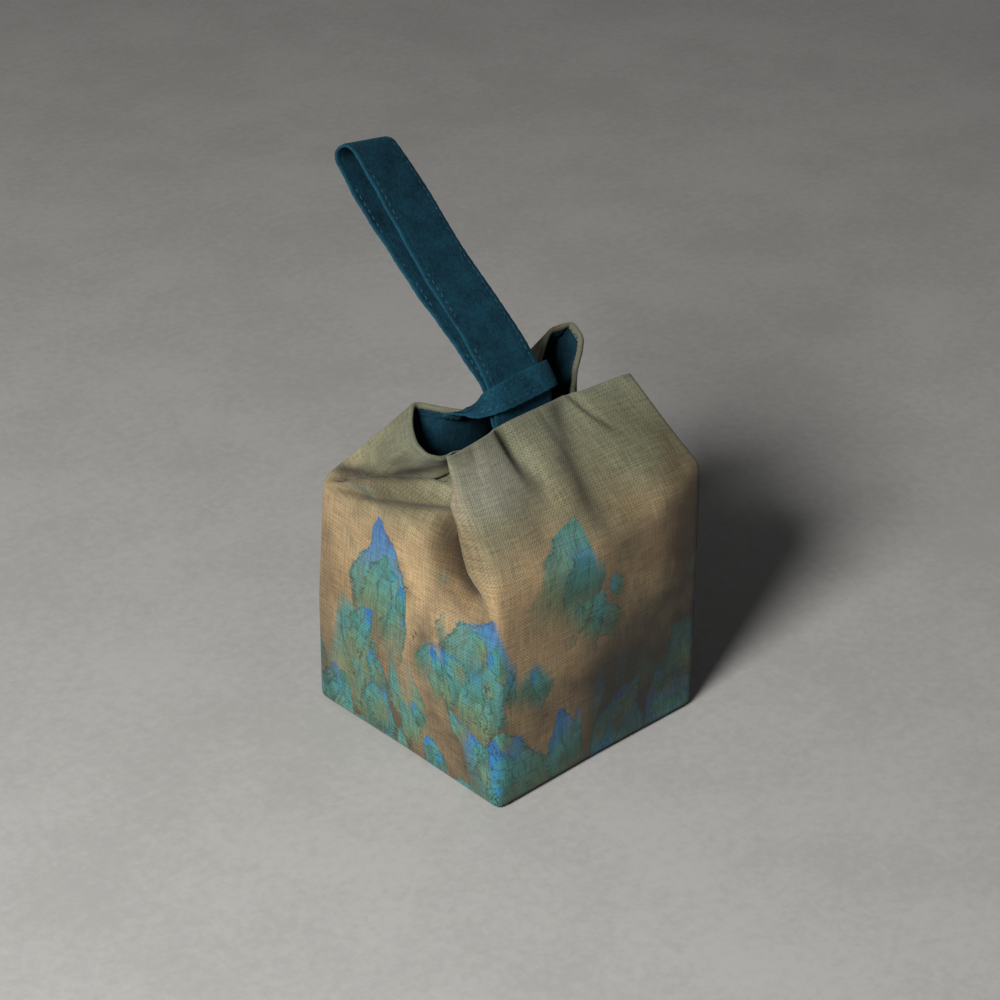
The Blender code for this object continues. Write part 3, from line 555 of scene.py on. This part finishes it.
def ringPiece(name, rings, maps, material, mapName="flatCloth"):
    # Closed mesh from rings (rows, columns, 3) in mm, capped by a fan at each end. The maps hold one column
    # more, because the last face of a ring ends where the first one begins
    rows, columns = rings.shape[:2]
    points = np.concatenate([rings.reshape(-1, 3), rings[0].mean(0)[None], rings[-1].mean(0)[None]]) * mm
    first, last = rows * columns, rows * columns + 1
    c = np.arange(columns)
    nextC = (c + 1) % columns
    r = np.arange(rows - 1)[:, None] * columns
    quads = np.stack([r + c, r + nextC, r + columns + nextC, r + columns + c], axis=-1).reshape(-1, 4)
    quadMaps = np.stack([maps[:-1, :-1], maps[:-1, 1:], maps[1:, 1:], maps[1:, :-1]], axis=2).reshape(-1, 2)
    top = (rows - 1) * columns
    fans = [(first, int(b), int(a)) for a, b in zip(c, nextC)]
    fans += [(last, int(top + a), int(top + b)) for a, b in zip(c, nextC)]
    fanMaps = []
    for mapRow, swap in ((maps[0], True), (maps[-1], False)):
        middle = mapRow.mean(0)
        for a in range(columns):
            pair = (mapRow[a + 1], mapRow[a]) if swap else (mapRow[a], mapRow[a + 1])
            fanMaps += [middle, pair[0], pair[1]]
    mesh = bpy.data.meshes.new(name)
    mesh.from_pydata(points.tolist(), [], quads.tolist() + fans)
    layer = mesh.uv_layers.new(name=mapName)
    layer.data.foreach_set("uv", np.concatenate([quadMaps, np.array(fanMaps)]).astype(np.float32).ravel())
    mesh.shade_smooth()
    mesh.materials.append(material)
    piece = bpy.data.objects.new(name, mesh)
    bpy.context.scene.collection.objects.link(piece)
    return piece


def aroundWalls(count):
    # Flat u of each column, from the seam on round the walls, and the same with the end of the last one
    pitch = cloth["girth"] / count
    around = cloth["seamAt"] - cloth["girth"] + np.arange(count) * pitch
    return around, np.append(around, around[-1] + pitch)


def wallRing(around, v, inset):
    return onCloth(around, np.full(len(around), float(v)), inset)


def footRing(around, inset, angle):
    # Ring on the rounded base edge: angle 0 at the wall, 90 at the flat base
    lift = cloth["baseRound"]
    place = wallRing(around, lift, 0.0)
    along = wallRing(around + 1.5, lift, 0.0) - wallRing(around - 1.5, lift, 0.0)
    out = np.stack([along[:, 1], -along[:, 0], np.zeros(len(around))], axis=-1)
    out = out / np.linalg.norm(out, axis=-1, keepdims=True)
    turn, reach = math.radians(angle), lift - inset
    place = place - out * (lift - reach * math.cos(turn))
    place[:, 2] = lift - reach * math.sin(turn)
    return place


def baseRings(edge, count):
    # Rings across the base from near its middle out to the given edge ring
    middle = edge.mean(0)
    return [middle + (edge - middle) * share for share in np.linspace(0.03, 1, count + 1)[:-1]]


def makeShell():
    # Outer cloth: base, walls, rolled rim, the hem turned in, and its own inner face
    around, flatU = aroundWalls(cloth["canvasColumns"])
    thick, top, lift = cloth["canvasThick"], cloth["top"], cloth["baseRound"]
    rings, maps = [], []

    def put(ring, v, base=None):
        rings.append(ring)
        if base is None:
            maps.append(np.stack([flatU / mapUnit, np.full(len(flatU), v / mapUnit)], axis=-1))
        else:      # the base is mapped beside the walls' strip
            closed = np.concatenate([base, base[:1]])
            maps.append(closed[:, :2] / mapUnit + np.array([-3.0, -0.6]))

    foot = footRing(around, 0.0, 90)
    for ring in baseRings(foot, 10):
        put(ring, 0, ring)
    put(foot, 0, foot)
    for angle in (90, 72, 54, 36, 18, 0):
        put(footRing(around, 0.0, angle), lift * (1 - angle / 90))
    half = wallThick / 2
    for v in np.arange(lift + 1.0, top - half, 1.0):
        put(wallRing(around, v, 0.0), v)
    for angle in (0, 30, 60, 90, 120, 150, 180):
        turn = math.radians(angle)
        put(wallRing(around, top - half + half * math.sin(turn), half * (1 - math.cos(turn))),
            top - half + half * math.radians(angle))
    # the turned edge ends round, on the lining
    hem = top - cloth["hem"]
    for above, inset, v in (
            (0.35, wallThick + 0.08, 2.2), (0.05, wallThick - 0.15, 2.6), (0.0, thick + 0.05, 3.0)):
        put(wallRing(around, hem + above, inset), top + v)
    for v in np.arange(top - 4, lift + 1.0, -2.0):
        put(wallRing(around, v, thick), v)
    for angle in (0, 30, 60, 90):
        put(footRing(around, thick, angle), lift * (1 - angle / 90))
    foot = footRing(around, thick, 90)
    for ring in baseRings(foot, 4)[::-1]:
        put(ring, 0, ring)
    piece = ringPiece("printedCanvasShell", np.array(rings), np.array(maps), canvasMaterial)
    # its points carry how much painted fold shade each place takes
    placesU = np.tile(around % cloth["girth"], (len(rings), 1))
    placesV = np.array(maps)[:, :-1, 1] * mapUnit
    depth = np.zeros_like(placesU)
    for run, width, share in paintedFoldShade:
        depth = np.maximum(depth, share * nearRun(placesU, placesV, run, width))
    layer = piece.data.attributes.new("paintedFoldShade", "FLOAT", "POINT")
    layer.data.foreach_set("value", np.append(depth.ravel(), (0.0, 0.0)).astype(np.float32))
    return piece


# The slack of the lining, mm. A row of stitches below the hem pulls it in, and leaves little hills above.
liningSlack = {
    "rowBelow": 3.2, "rowPull": 0.30, "hillBelow": 1.6, "hillPitch": 3.4, "hill": 0.32, "wave": 0.28,
    # where it sags into the mouth: round its middle, how wide, how deep, from and to how far under the hem
    "falls": ((259.0, 18.0, 12.0, 1.0, 15.0), (234.0, 17.0, 15.0, 4.0, 18.0), (172.0, 14.0, 3.0, 1.0, 14.0)),
    "fallFade": 14.0,
}


def makeLining():
    # Lining: a skin just inside the canvas, its top edge caught under the hem and puckered by the stitching
    around, flatU = aroundWalls(cloth["liningColumns"])
    lift = cloth["baseRound"]
    hem = cloth["top"] - cloth["hem"] - 0.3
    rings, maps = [], []

    def put(ring, v):
        rings.append(ring)
        maps.append(np.stack([flatU / mapUnit, np.full(len(flatU), v / mapUnit)], axis=-1))

    def pucker(v):
        # How far the lining stands off the canvas: hills between stitches, the pulled row, waves and falls
        below = hem - v
        line = liningSlack["rowPull"] * np.exp(-((below - liningSlack["rowBelow"]) / 0.7) ** 2)
        phase = around * 2 * math.pi / liningSlack["hillPitch"]
        between = 0.5 + 0.5 * np.sin(phase + 1.3 * np.sin(around * 0.37))
        hills = liningSlack["hill"] * np.exp(-((below - liningSlack["hillBelow"]) / 1.5) ** 2) * between
        waves = liningSlack["wave"] * np.sin(around * 0.21 + v * 0.13) * np.sin(v * 0.31 + around * 0.11)
        waves = waves * np.clip(below / 8, 0, 1)
        turned = around % cloth["girth"]
        falls = 0.0
        for middle, spread, deep, begin, end in liningSlack["falls"]:
            rise = min(max((below - begin) / (end - begin), 0), 1) ** 1.2
            rise *= math.exp(-(max(below - end, 0) / liningSlack["fallFade"]) ** 2)
            falls = falls + deep * rise * np.exp(-((turned - middle) / spread) ** 2)
        return hills - line + waves + falls

    # up its outer face, over its edge and down its inner face
    for ring in baseRings(footRing(around, liningOut, 90), 4):
        put(ring, 0)
    for angle in (90, 60, 30, 0):
        put(footRing(around, liningOut, angle), lift * (1 - angle / 90))
    for v in np.append(np.arange(4.0, hem - 1, 2.4), hem - 0.15):
        put(wallRing(around, v, liningOut), v)
    put(wallRing(around, hem, liningOut + 0.3), hem)
    for below in (0.1, 0.5, 1.0, 1.6, 2.2, 2.7, 3.2, 3.7, 4.4):
        put(wallRing(around, hem - below, wallThick + pucker(hem - below)), hem - below)
    for v in np.arange(hem - 5.4, 3.0, -1.5):
        put(wallRing(around, v, wallThick + pucker(v) * min(1.0, v / 60)), v)
    for angle in (0, 30, 60, 90):
        put(footRing(around, wallThick, angle), lift * (1 - angle / 90))
    for ring in baseRings(footRing(around, wallThick, 90), 5)[::-1]:
        put(ring, 0)
    return ringPiece("suedeLining", np.array(rings), np.array(maps), liningMaterial)


shell = makeShell()
lining = makeLining()
print("cloth folded")

# Both strips: mm from an edge to its stitches, mm from step to step along a strip, steps that are sewn in
band = {"seam": 2.1, "step": 0.9, "sewnIn": 9, "softPasses": 6}
# mm, and the lean and the turns about the strap's own length in degrees, at its foot and more at its loop
strap = {"width": 25.0, "thick": 1.4, "reach": 93.5, "root": 8.0, "loopGap": 7.6, "slack": 1.4, "lean": 46.0,
         "turnFoot": 7.2, "turnLoop": 12.5}
keeper = {"thick": 1.2, "root": 7.0}


def spline(points, pieces):
    points = [np.array(point, float) for point in points]
    ends = [2 * points[0] - points[1]] + points + [2 * points[-1] - points[-2]]
    curve = []
    for a, b, c, d in zip(ends, ends[1:], ends[2:], ends[3:]):
        for piece in range(pieces):
            t = piece / pieces
            curve.append(0.5 * (2 * b + (c - a) * t + (2 * a - 5 * b + 4 * c - d) * t ** 2
                                + (3 * b - a - 3 * c + d) * t ** 3))
    curve.append(points[-1])
    return np.array(curve)


def evened(line, guide, pitch):
    # Both edges of a band resampled to even steps of their middle line
    middle = (line + guide) / 2
    run = np.append(0, np.cumsum(np.linalg.norm(np.diff(middle, axis=0), axis=1)))
    count = int(run[-1] / pitch) + 1
    wanted = np.linspace(0, run[-1], count)
    sides = [np.stack([np.interp(wanted, run, side[:, axis]) for axis in range(3)], axis=-1)
             for side in (line, guide)]
    return sides[0], sides[1], wanted


def smoothLine(line, passes):
    for _ in range(passes):
        line = np.concatenate([line[:1], (line[:-2] + 2 * line[1:-1] + line[2:]) / 4, line[-1:]])
    return line


def bandFrame(left, right):
    # Unit across and unit face directions at each station
    middle = (left + right) / 2
    along = np.gradient(middle, axis=0)
    across = right - left
    width = np.linalg.norm(across, axis=1, keepdims=True)
    face = np.cross(across, along)
    return middle, across / width, face / np.linalg.norm(face, axis=1, keepdims=True), width[:, 0]


def bandProfile(width, thick):
    # Half outline of a folded, edge-stitched strip: (across, height) from one edge to the other
    half, roll = width / 2, thick * 0.36
    outline = []
    for angle in (0, 30, 60, 90):      # rounded fold
        turn = math.radians(angle)
        outline.append((-half + roll * (1 - math.cos(turn)), roll * math.sin(turn)))
    # the stitches pull in a shallow furrow, and past it the strip is full
    for inset, share in ((1.4, 0.45), (1.8, 0.46), (band["seam"], 0.40), (2.5, 0.47), (3.4, 0.50)):
        outline.append((-half + inset, thick * share))
    outline += [(place, thick * 0.5) for place in np.linspace(-half + 3.4, 0, 5)[1:]]
    mirror = [(-x, y) for x, y in outline[:-1]][::-1]
    return outline + mirror


def bandPiece(name, left, right, thick, material):
    left, right, run = evened(left, right, band["step"])
    left, right = smoothLine(left, band["softPasses"]), smoothLine(right, band["softPasses"])
    middle, across, face, width = bandFrame(left, right)
    rings, maps = [], []
    for index in range(len(middle)):
        # its width varies by a tenth of a millimetre or two
        rough = 0.14 * math.sin(run[index] * 1.7) + 0.12 * math.sin(run[index] * 2.9 + 1.0)
        upper = bandProfile(width[index] + rough, thick)
        outline = upper + [(x, -y) for x, y in upper[1:-1]][::-1]
        # slow waves of the slack cloth, a few tenths of a millimetre
        wave = 0.22 * math.sin(run[index] * 0.19) + 0.14 * math.sin(run[index] * 0.47 + 1.0)
        ring = [middle[index] + across[index] * x + face[index] * (y + wave * math.cos(x * 0.09 + 0.6))
                for x, y in outline]
        rings.append(ring[::-1])
        # mapped by the distance from the nearer edge, and along the strip
        edge = [(width[index] / 2 - abs(x)) / mapUnit for x, _ in outline][::-1]
        maps.append([(value, run[index] / mapUnit) for value in edge + edge[:1]])
    piece = ringPiece(name, np.array(rings), np.array(maps), material, "bandEdge")
    return piece, middle, across, face, width


def makeStrap():
    # Near leg up from the front rim, over the loop end and back down behind itself
    front, top = 45.0, cloth["top"]
    nearInset = wallThick + strap["slack"] * 1.5 + strap["thick"] / 2
    farInset = nearInset + strap["thick"] + cloth["gap"]
    foot = top - strap["root"]
    nearRim, farRim, pull = (onCloth(front, top, inset) for inset in (nearInset, farInset, 0.0))
    lean = math.radians(strap["lean"])
    up = np.array([0.0, math.sin(lean), math.cos(lean)])
    back = np.array([0.0, math.cos(lean), -math.sin(lean)])
    start, reach, gap = pull + np.array([0.0, 8.5, 9.0]), strap["reach"], strap["loopGap"]

    def leg(share, sink):
        # a place on a leg: share of the reach, and how far it sinks back from the straight line
        return start + up * reach * share + back * sink

    near = [onCloth(front, foot, nearInset), nearRim, pull + np.array([0.0, 3.7, 2.4]), start,
            leg(0.12, -0.4), leg(0.28, 0.6), leg(0.5, 2.4), leg(0.75, 2.5)]
    loop = []
    for turn in (0.0, 45.0, 90.0, 135.0, 180.0):
        angle = math.radians(turn)
        loop.append(leg(0.945, 3.6 + gap * (0.5 - 0.5 * math.cos(angle))) + up * gap * 0.5 * math.sin(angle))
    far = [leg(0.8, 3.2 + gap * 1.06), leg(0.6, 1.4 + gap * 1.14), leg(0.4, 0.3 + gap),
           leg(0.2, -0.4 + gap * 0.71), leg(0.0, 2.4),
           farRim + np.array([0.0, 1.0, 2.6]), farRim, onCloth(front, foot, farInset)]
    left, right = [], []
    for point in spline(near + loop + far, 12):
        high = float(np.dot(point - start, up))
        deep = float(np.dot(point - start, back)) - gap * 0.5
        turn = math.radians(strap["turnFoot"] * min(max(high / 8.0 + 1.0, 0.0), 1.0)
                            + strap["turnLoop"] * max(high, 0.0) / reach)
        for edge, side in ((left, -strap["width"] / 2), (right, strap["width"] / 2)):
            across = side * math.cos(turn) - deep * math.sin(turn)
            depth = side * math.sin(turn) + deep * math.cos(turn) + gap * 0.5
            edge.append(start + up * high + back * depth + np.array([across, 0.0, 0.0]))
    return bandPiece("wristStrap", np.array(left), np.array(right), strap["thick"], strapMaterial)


def makeKeeper():
    # Short band round both strap legs, its ends sewn down inside the far rim
    top = cloth["top"]
    inset = wallThick + strap["slack"] + keeper["thick"] / 2
    foot = top - keeper["root"]
    pull, half = onCloth(45.0, top), strap["width"] / 2
    # its upper edge, then its lower edge: from the far rim round the left of the strap, its front and its right
    high = [onCloth(238.5, top - 4.0, inset - 1.2), onCloth(240.0, top, inset - 0.8)]
    high += [pull + np.array(place) for place in (
        (-half - 3.1, 13.0, 1.4), (-half - 1.4, 9.0, 4.2), (-half - 1.6, 7.6, 8.2), (-half + 0.8, 5.0, 10.6),
        (0.0, 5.8, 11.4), (half - 0.4, 6.6, 11.0), (half + 2.2, 8.4, 9.6), (half + 2.6, 11.6, 5.2))]
    high += [onCloth(216.0, top, inset), onCloth(216.0, foot, inset)]
    low = [onCloth(245.0, top - 3.4, inset - 1.2), onCloth(246.0, top - 0.6, inset - 1.2)]
    low += [pull + np.array(place) for place in (
        (-half - 6.2, 11.8, 0.4), (-half - 5.6, 9.2, 0.2), (-half - 4.4, 6.6, 0.4), (-half + 0.8, 0.8, 3.2),
        (0.0, 0.7, 3.4), (half - 0.4, 1.2, 3.8), (half + 3.6, 4.8, 2.0), (half + 5.0, 10.6, -0.2))]
    low += [onCloth(206.0, top, inset), onCloth(206.0, foot, inset)]
    return bandPiece("keeperLoop", spline(high, 8), spline(low, 8), keeper["thick"], strapMaterial)


strapPiece, *strapCourse = makeStrap()
keeperPiece, *keeperCourse = makeKeeper()
print("strap and keeper made")

# Inputs of the stitches: metres, and the share by which their lengths vary
stitching = {"Stitch pitch": 2.6 * mm, "Stitch length": 1.8 * mm, "Thread width": 0.28 * mm, "Unevenness": 0.15}


def stitchTree(material):
    # Geometry Nodes: short thread loops laid at even steps along each line of the given object
    tree = bpy.data.node_groups.new("runningStitches", "GeometryNodeTree")
    face = tree.interface
    face.new_socket(name="Geometry", in_out="INPUT", socket_type="NodeSocketGeometry")
    for name, value in stitching.items():
        socket = face.new_socket(name=name, in_out="INPUT", socket_type="NodeSocketFloat")
        socket.default_value = value
    face.new_socket(name="Geometry", in_out="OUTPUT", socket_type="NodeSocketGeometry")
    inside, outside = add(tree, "NodeGroupInput"), add(tree, "NodeGroupOutput")
    line = add(tree, "GeometryNodeMeshToCurve", {0: inside.outputs["Geometry"]})
    steps = add(tree, "GeometryNodeResampleCurve", {"Curve": line, "Length": inside.outputs["Stitch pitch"]},
                mode="LENGTH")
    bead = add(tree, "GeometryNodeMeshUVSphere", {"Segments": 8, "Rings": 6, "Radius": 0.5})
    tangent = add(tree, "GeometryNodeInputTangent")
    aim = add(tree, "FunctionNodeAlignRotationToVector", {"Vector": tangent}, axis="X")
    chance = add(tree, "FunctionNodeRandomValue", {"Seed": 7}, data_type="FLOAT")
    chance.inputs[2].default_value, chance.inputs[3].default_value = -1.0, 1.0
    share = add(tree, "Math", {0: chance.outputs[1], 1: inside.outputs["Unevenness"], 2: 1.0},
                operation="MULTIPLY_ADD")
    length = add(tree, "Math", {0: inside.outputs["Stitch length"], 1: share}, operation="MULTIPLY")
    size = add(tree, "CombineXYZ", {
        0: length, 1: inside.outputs["Thread width"], 2: inside.outputs["Thread width"]})
    laid = add(tree, "GeometryNodeInstanceOnPoints", {
        "Points": steps, "Instance": bead, "Rotation": aim, "Scale": size})
    real = add(tree, "GeometryNodeRealizeInstances", {0: laid})
    smooth = add(tree, "GeometryNodeSetShadeSmooth", {0: real})
    done = add(tree, "GeometryNodeSetMaterial", {"Geometry": smooth, "Material": material})
    tree.links.new(done.outputs[0], outside.inputs[0])
    return tree


def stitchPiece(name, lines, material):
    # Runs the stitch tree over the lines (each an array of places in mm) and keeps the plain mesh
    points, edges = [], []
    for line in lines:
        begin = len(points)
        points += (np.asarray(line) * mm).tolist()
        edges += [(begin + index, begin + index + 1) for index in range(len(line) - 1)]
    guide = bpy.data.meshes.new(name + "Guide")
    guide.from_pydata(points, edges, [])
    worker = bpy.data.objects.new(name + "Guide", guide)
    bpy.context.scene.collection.objects.link(worker)
    modifier = worker.modifiers.new("stitches", "NODES")
    tree = stitchTree(material)
    modifier.node_group = tree
    for item in tree.interface.items_tree:
        if item.in_out == "INPUT" and item.name in stitching:
            modifier[item.identifier] = stitching[item.name]
    bpy.context.view_layer.update()
    ready = worker.evaluated_get(bpy.context.evaluated_depsgraph_get())
    mesh = bpy.data.meshes.new_from_object(ready)
    piece = bpy.data.objects.new(name, mesh)
    bpy.context.scene.collection.objects.link(piece)
    bpy.data.objects.remove(worker)
    return piece


def bandLines(middle, across, face, width, thick):
    # Stitch lines in from both edges of a strip, on both its faces, sunk a little into the furrow
    keep = slice(band["sewnIn"], len(middle) - band["sewnIn"])
    lines = []
    for side in (-1, 1):
        for level in (-1, 1):
            off = across * ((width / 2 - band["seam"]) * side)[:, None] + face * (thick * 0.37 * level)
            lines.append((middle + off)[keep])
    return lines


def rimLines():
    # Two lines round the mouth on the lining side: along the hem's edge, and a little below it
    around = np.arange(0, cloth["girth"] + 1, 1.0)
    hem = cloth["top"] - cloth["hem"]
    return [wallRing(around, hem + 0.55, wallThick + 0.10), wallRing(around, hem - 3.5, wallThick - 0.22)]


strapStitches = stitchPiece("strapStitches", bandLines(*strapCourse, strap["thick"]), tealThread)
keeperStitches = stitchPiece("keeperStitches", bandLines(*keeperCourse, keeper["thick"]), tealThread)
rimStitches = stitchPiece("rimStitches", rimLines(), darkThread)
print("stitching laid")

for piece, node, slot in (
        (shell, "outer_shell", "printed_cloth"), (lining, "lining", "lining_cloth"),
        (strapPiece, "wrist_strap", "strap_cloth"), (keeperPiece, "keeper_loop", "keeper_cloth")):
    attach(piece, "root")
    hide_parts(node)
for piece, slot in (
        (strapStitches, "strap_cloth"), (keeperStitches, "keeper_cloth"), (rimStitches, "lining_cloth")):
    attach(piece, "root")

# Floor in metres, its clouds and specks in mm. The window light: where it comes from, its height in degrees,
# its distance, the height it aims at and its size in metres, and its power in watts.
studio = {"floor": "#a3a19d", "floorBlotch": "#9a9894", "floorReach": 3.0, "floorBelow": 0.0002,
          "cloud": 71.4286, "speck": 3.84615, "keyFrom": (-0.957, -0.29), "keyHeight": 36.0, "keyAway": 1.28,
          "keyAim": 0.06, "keySize": 0.43, "keyPower": 26.5, "world": "#cfd2d6", "worldLight": 0.125}


def makeFloor():
    # smooth cement: matt, with broad pale and dark clouds
    mesh = bpy.data.meshes.new("floor")
    reach, low = studio["floorReach"], -studio["floorBelow"]
    corners = [(-reach, -reach, low), (reach, -reach, low), (reach, reach, low), (-reach, reach, low)]
    mesh.from_pydata(corners, [], [(0, 1, 2, 3)])
    material, tree, shader = newMaterial("cementFloorMatt", 0.9, {"Specular IOR Level": 0.2})
    place = add(tree, "TexCoord").outputs["Object"]
    perMetre = {size: 1 / (studio[size] * mm) for size in ("cloud", "speck")}
    cloud = add(tree, "TexNoise", {
        "Vector": place, "Scale": perMetre["cloud"], "Detail": 5.0, "Roughness": 0.65})
    speck = add(tree, "TexNoise", {
        "Vector": place, "Scale": perMetre["speck"], "Detail": 4.0, "Roughness": 0.7})
    share = add(tree, "Math", {0: speck, 1: 0.8, 2: cloud}, operation="MULTIPLY_ADD")
    share = add(tree, "MapRange", {0: share, 1: 0.70, 2: 1.10}, **softStep)
    colour = add(tree, "Mix", {0: share, 6: studio["floor"], 7: studio["floorBlotch"]}, **ofColours)
    tree.links.new(colour.outputs[2], shader.inputs["Base Color"])
    mesh.materials.append(material)
    floor = bpy.data.objects.new("floor", mesh)
    bpy.context.scene.collection.objects.link(floor)


def makeLights():
    away, height = studio["keyAway"], math.radians(studio["keyHeight"])
    level = Vector((*studio["keyFrom"], 0)).normalized() * math.cos(height)
    direction = level + Vector((0, 0, math.sin(height)))
    light = bpy.data.lights.new("windowLight", "AREA")
    light.shape, light.size = "DISK", studio["keySize"]
    light.energy = studio["keyPower"]
    lamp = bpy.data.objects.new("windowLight", light)
    lamp.location = direction * away + Vector((0, 0, studio["keyAim"]))
    lamp.rotation_mode = "QUATERNION"
    lamp.rotation_quaternion = (-direction).to_track_quat("-Z", "Y")
    bpy.context.scene.collection.objects.link(lamp)
    world = bpy.data.worlds.new("studio")
    bpy.context.scene.world = world
    world.use_nodes = True
    tree = world.node_tree
    sky = tree.nodes["Background"]
    sky.inputs[0].default_value = fromHex(studio["world"])
    sky.inputs[1].default_value = studio["worldLight"]
    # the camera sees a backdrop of the floor's colour
    seen = add(tree, "Background", {0: studio["floor"], 1: 1.0})
    path = add(tree, "LightPath")
    both = add(tree, "MixShader", {0: path.outputs["Is Camera Ray"], 1: sky.outputs[0], 2: seen.outputs[0]})
    tree.links.new(both.outputs[0], tree.nodes["World Output"].inputs[0])


makeFloor()
makeLights()
print("floor and light set")
